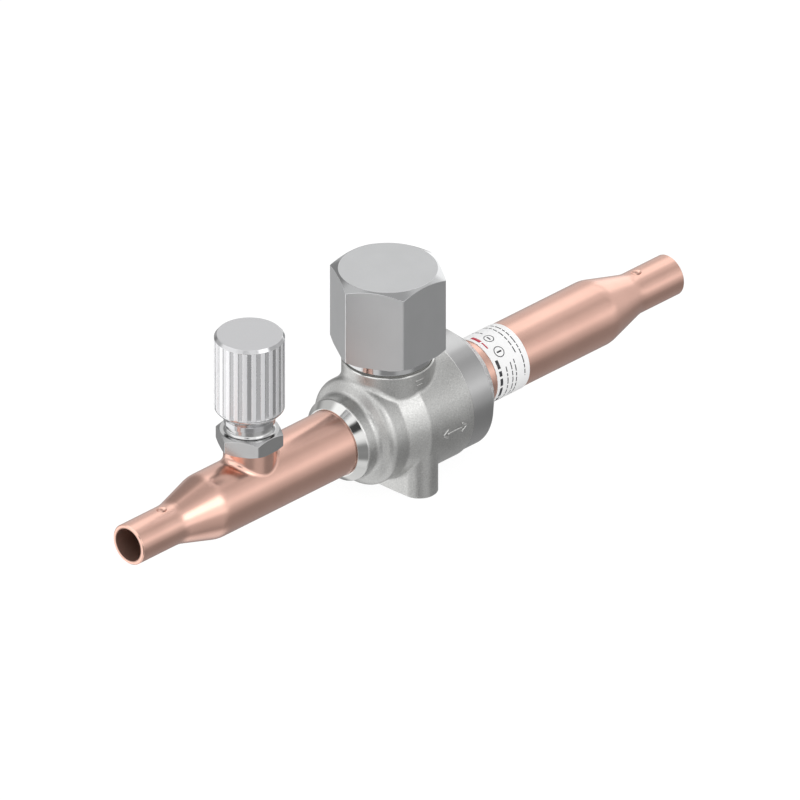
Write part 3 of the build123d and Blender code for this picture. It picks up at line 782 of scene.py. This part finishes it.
def new_material(name, colour, metallic, roughness):
    """A material with its Principled shader, and the object coordinates that its pattern reads."""
    material = bpy.data.materials.new(name)
    material.use_nodes = True
    tree = material.node_tree
    shader = tree.nodes["Principled BSDF"].inputs
    shader["Base Color"].default_value = (*colour, 1)
    shader["Metallic"].default_value = metallic
    shader["Roughness"].default_value = roughness
    place = tree.nodes.new("ShaderNodeTexCoord").outputs["Object"]
    return material, tree, shader, place


def rounded_normal(tree, radius):
    """The normal with edges rounded by a radius in mm, and a mask of those edges."""
    bevel = tree.nodes.new("ShaderNodeBevel")
    bevel.samples = 6
    bevel.inputs["Radius"].default_value = radius * MM
    real = tree.nodes.new("ShaderNodeNewGeometry").outputs["Normal"]
    edge = place_group(tree, edge_highlight, Rounded=bevel.outputs[0], Real=real)["Edge"]
    return bevel.outputs[0], edge


def bump(tree, height, strength, distance, normal=None):
    """A bumped normal: height from 0 to 1 stands distance mm high, at a strength from 0 to 1."""
    node = tree.nodes.new("ShaderNodeBump")
    join(tree, height, node.inputs["Height"])
    join(tree, strength, node.inputs["Strength"])
    node.inputs["Distance"].default_value = distance * MM
    join(tree, normal, node.inputs["Normal"])
    return node.outputs[0]


def shade(tree, colour, factor):
    """A colour times a factor that changes over the surface."""
    node = tree.nodes.new("ShaderNodeVectorMath")
    node.operation = "SCALE"
    node.inputs[0].default_value = colour
    join(tree, factor, node.inputs["Scale"])
    return node.outputs["Vector"]


def make_body_finish():
    """Bead-blasted forging, with its nose, boss face, neck, barrel rim and foot face machined bright, a
    painted highlight line on the barrel rim and painted highlights on its edges.
    """
    colour = (0.5, 0.5, 0.49)
    material, tree, shader, place = new_material("blasted_forging", colour, 1.0, 0.34)
    x, y, z = split_node(tree, place)
    nose = past(tree, x, -16.05, -16.2)
    rim = past(tree, x, 12.75, 12.85)
    face = past(tree, z, 31.1, 31.2)
    sole = past(tree, z, 0.12, 0.02)
    ends = math_node(tree, "MAXIMUM", nose, rim)
    machined = math_node(tree, "MAXIMUM", ends, math_node(tree, "MAXIMUM", face, sole))
    blasted = math_node(tree, "SUBTRACT", 1.0, machined)
    near_spindle = past(tree, off_axis(tree, x, y), 11.3, 10.9)
    boss = math_node(tree, "MULTIPLY", near_spindle, past(tree, z, 24.0, 26.0))
    grain = place_group(tree, bead_blast, Place=place, Grain=0.3)
    cloud = noise_node(tree, place, 140.0)
    normal, edge = rounded_normal(tree, 0.16)
    rough = soft_step(tree, cloud, 0.3, 0.7, 0.33, 0.38)
    rough = add_masked(tree, rough, boss, 0.04)
    rough = pull_to(tree, rough, machined, 0.08)
    join(tree, add_masked(tree, rough, edge, -0.06), shader["Roughness"])
    facets = math_node(tree, "MULTIPLY", grain["Facets"], 0.1)
    shine = add_masked(tree, facets, grain["Height"], 0.75)
    shine = math_node(tree, "SUBTRACT", shine, 0.375)
    tone = soft_step(tree, cloud, 0.25, 0.75, 0.96, 1.03)
    tone = add_masked(tree, tone, blasted, shine)
    # Painted highlight: the rounded edges are lightened in colour
    tone = add_masked(tree, tone, edge, 0.12)
    tone = add_masked(tree, tone, machined, 0.18)
    # Painted highlight: a bright line on the barrel rim, over its machined tone
    tone = add_masked(tree, tone, rim, 0.35)
    join(tree, shade(tree, colour, tone), shader["Base Color"])
    strength = math_node(tree, "MULTIPLY", blasted, math_node(tree, "MULTIPLY_ADD", boss, -0.3, 0.42))
    join(tree, bump(tree, grain["Height"], strength, 0.05, normal), shader["Normal"])
    return material


def make_adapter_finish():
    """Satin turned steel: fine lines round the tube axis, and painted highlights on its edges."""
    colour = (0.485, 0.485, 0.485)
    material, tree, shader, place = new_material("satin_turned", colour, 1.0, 0.24)
    x, y, z = split_node(tree, place)
    radius = off_axis(tree, y, math_node(tree, "SUBTRACT", z, TUBE_AXIS_Z * MM))
    along = math_node(tree, "SUBTRACT", x, radius)
    lines = place_group(tree, turned_lines, Distance=along, Feed=0.12)["Height"]
    cloud = noise_node(tree, place, 120.0)
    normal, edge = rounded_normal(tree, 0.15)
    tone = soft_step(tree, cloud, 0.25, 0.75, 0.97, 1.03)
    # Painted highlight: the rounded edges are lightened in colour
    tone = add_masked(tree, tone, edge, 0.14)
    join(tree, shade(tree, colour, tone), shader["Base Color"])
    join(tree, soft_step(tree, lines, 0.2, 0.8, 0.19, 0.23), shader["Roughness"])
    join(tree, bump(tree, lines, 0.05, 0.01, normal), shader["Normal"])
    return material


def make_cap_finish():
    """Plated hexagon: smooth satin flats, with its top chamfer and the skirt under them polished."""
    colour = (0.56, 0.565, 0.57)
    material, tree, shader, place = new_material("satin_plated", colour, 1.0, 0.38)
    x, y, z = split_node(tree, place)
    radius = off_axis(tree, x, y)
    over_chamfer = add_masked(tree, z, radius, CHAMFER_SLOPE)
    over_chamfer = math_node(tree, "SUBTRACT", over_chamfer, (CAP_TOP + CAP_TOP_R * CHAMFER_SLOPE) * MM)
    chamfer = past(tree, math_node(tree, "ABSOLUTE", over_chamfer), 0.07, 0.04)
    chamfer = math_node(tree, "MULTIPLY", chamfer, past(tree, radius, CAP_TOP_R - 0.07, CAP_TOP_R - 0.02))
    skirt = past(tree, z, CAP_BOTTOM + 0.05, CAP_BOTTOM - 0.05)
    polished = math_node(tree, "MAXIMUM", chamfer, skirt)
    streaks = place_group(tree, drawn_streaks, Place=place, Stretch=(1.0, 1.0, 0.04), Width=0.35)
    rough = soft_step(tree, streaks["Height"], 0.2, 0.8, 0.36, 0.41)
    join(tree, pull_to(tree, rough, polished, 0.1), shader["Roughness"])
    tone = soft_step(tree, streaks["Cloud"], 0.25, 0.75, 0.98, 1.02)
    join(tree, shade(tree, colour, tone), shader["Base Color"])
    join(tree, bump(tree, streaks["Height"], 0.05, 0.01), shader["Normal"])
    return material


def make_port_finish():
    """Polished plating with faint turning lines about an upright axis and light handling marks."""
    colour, smoothest = (0.56, 0.56, 0.56), 0.15
    material, tree, shader, place = new_material("polished_port", colour, 1.0, smoothest)
    lines = place_group(tree, turned_lines, Distance=split_node(tree, place)[2], Feed=0.2)["Height"]
    cloud = noise_node(tree, place, 260.0, 3.0, 0.6)
    join(tree, soft_step(tree, cloud, 0.3, 0.75, smoothest, smoothest + 0.04), shader["Roughness"])
    tone = soft_step(tree, cloud, 0.25, 0.75, 1.02, 0.97)
    join(tree, shade(tree, colour, tone), shader["Base Color"])
    join(tree, bump(tree, lines, 0.03, 0.005), shader["Normal"])
    return material


def make_fluted_finish():
    """Satin ridges, painted paler as a highlight, between smoother flute floors, on a cap with faint
    turning lines.
    """
    colour = (0.58, 0.58, 0.59)
    material, tree, shader, place = new_material("fluted_plating", colour, 1.0, 0.14)
    x, y, z = split_node(tree, place)
    x = math_node(tree, "SUBTRACT", x, PORT_X * MM)
    flute = math_node(tree, "MULTIPLY", math_node(tree, "ARCTAN2", y, x), FLUTES / (2 * math.pi))
    off = math_node(tree, "ABSOLUTE", math_node(tree, "WRAP", flute, 0.5, -0.5))
    side = math_node(
        tree, "MULTIPLY", past(tree, z, 36.5, 37.0), past(tree, z, FLUTED_RIM, FLUTED_RIM - 0.1)
    )
    side = math_node(tree, "MULTIPLY", side, past(tree, off_axis(tree, x, y), 7.3, 7.6))
    ridge = math_node(tree, "MULTIPLY", side, soft_step(tree, off, 0.235, 0.265))
    floor = math_node(tree, "MULTIPLY", side, soft_step(tree, off, 0.265, 0.235))
    top = past(tree, z, 55.5, 55.54)
    rim = math_node(
        tree, "MULTIPLY", past(tree, z, FLUTED_RIM, FLUTED_RIM + 0.1), past(tree, z, 55.5, 55.4)
    )
    cloud = noise_node(tree, place, 260.0, 3.0, 0.6)
    lines = place_group(tree, turned_lines, Distance=z, Feed=0.2)["Height"]
    tone = soft_step(tree, cloud, 0.25, 0.75, 1.01, 0.99)
    # Painted highlight: the ridges are lightened in colour to give bright stripes
    tone = add_masked(tree, tone, ridge, 0.55)
    tone = add_masked(tree, tone, floor, 0.08)
    tone = add_masked(tree, tone, rim, -0.18)
    join(tree, shade(tree, colour, tone), shader["Base Color"])
    rough = soft_step(tree, cloud, 0.3, 0.75, 0.1, 0.14)
    rough = add_masked(tree, rough, top, 0.12)
    rough = add_masked(tree, rough, floor, 0.16)
    join(tree, add_masked(tree, rough, ridge, 0.38), shader["Roughness"])
    join(tree, bump(tree, lines, 0.05, 0.005), shader["Normal"])
    return material


def make_copper_finish():
    """Drawn copper tube: faint streaks along it, a soft change of tone, painted highlights on its edges,
    and a rougher bore darkened by painted shade.
    """
    material, tree, shader, place = new_material("drawn_copper", (0.76, 0.5, 0.41), 1.0, 0.25)
    warm, deep = (0.81, 0.51, 0.42, 1), (0.77, 0.48, 0.395, 1)
    # Colours for a painted highlight on the edges and a painted shade in the bore
    bright_edge, shaded_bore = (0.9, 0.68, 0.58, 1), (0.42, 0.28, 0.23, 1)
    streaks = place_group(tree, drawn_streaks, Place=place, Stretch=(0.025, 1.0, 1.0), Width=0.32)
    normal, edge = rounded_normal(tree, 0.06)
    y, z = split_node(tree, place)[1:]
    radius = off_axis(tree, y, math_node(tree, "SUBTRACT", z, TUBE_AXIS_Z * MM))
    inside = past(tree, radius, 4.35, 4.2)
    colour = mix_colour(tree, soft_step(tree, streaks["Cloud"], 0.25, 0.75), warm, deep)
    # Painted highlight: the edges are mixed towards a paler copper
    colour = mix_colour(tree, math_node(tree, "MULTIPLY", edge, 0.35), colour, bright_edge)
    # Painted shade: the bore is darkened in colour, and it is also made rougher below
    colour = mix_colour(tree, math_node(tree, "MULTIPLY", inside, 0.8), colour, shaded_bore)
    join(tree, colour, shader["Base Color"])
    rough = soft_step(tree, streaks["Height"], 0.2, 0.8, 0.22, 0.26)
    join(tree, add_masked(tree, rough, inside, 0.3), shader["Roughness"])
    join(tree, bump(tree, streaks["Height"], 0.04, 0.01, normal), shader["Normal"])
    return material


def make_plain_finish(name, colour, roughness, grain, depth, metallic=0.0, tones=(0.95, 1.04)):
    """A plain finish with fine grain, its width and depth in mm, and a soft change of tone."""
    material, tree, shader, place = new_material(name, colour, metallic, roughness)
    fine = noise_node(tree, place, 1.0 / (grain * MM), 3.0, 0.6)
    cloud = noise_node(tree, place, 150.0)
    join(tree, shade(tree, colour, soft_step(tree, cloud, 0.25, 0.75, *tones)), shader["Base Color"])
    join(tree, soft_step(tree, fine, 0.3, 0.7, roughness - 0.04, roughness + 0.05), shader["Roughness"])
    join(tree, bump(tree, fine, 0.25, depth), shader["Normal"])
    return material


looks = {
    "body": make_body_finish(),
    "adapter": make_adapter_finish(),
    "cap": make_cap_finish(),
    "fluted_cap": make_fluted_finish(),
    "port": make_port_finish(),
    "copper": make_copper_finish(),
    "label": make_plain_finish("label_film", (0.95, 0.95, 0.95), 0.35, 0.4, 0.004, tones=(0.985, 1.01)),
    "ink_dark": make_plain_finish("dark_ink", (0.035, 0.035, 0.04), 0.45, 0.2, 0.002),
    "ink_red": make_plain_finish("red_ink", (0.55, 0.03, 0.06), 0.45, 0.2, 0.002),
    "ball": make_plain_finish("hard_chrome", (0.7, 0.7, 0.71), 0.07, 0.5, 0.001, 1.0),
    "steel": make_plain_finish("turned_steel", (0.5, 0.5, 0.5), 0.28, 0.25, 0.006, 1.0),
    "ptfe": make_plain_finish("white_ptfe", (0.85, 0.85, 0.83), 0.5, 0.3, 0.01),
    "elastomer": make_plain_finish("black_elastomer", (0.02, 0.02, 0.02), 0.6, 0.15, 0.01),
    "gasket": make_plain_finish("fibre_gasket", (0.2, 0.2, 0.19), 0.8, 0.12, 0.03),
    "core_brass": make_plain_finish("turned_brass", (0.78, 0.56, 0.28), 0.22, 0.25, 0.006, 1.0),
}
slots = {part["node"]: part["material_slot"] for part in frame["record"]["subparts"]}
for node, part in frame["nodes"].items():
    part.data.materials.clear()
    part.data.materials.append(looks[slots[node]])

place_camera()
make_world()
make_floor()
make_hex_cap()
make_fluted_cap()
make_access_port()
make_core_spring()
make_label_print()
make_forged_marks()
bpy.context.scene.view_settings.view_transform = "Standard"
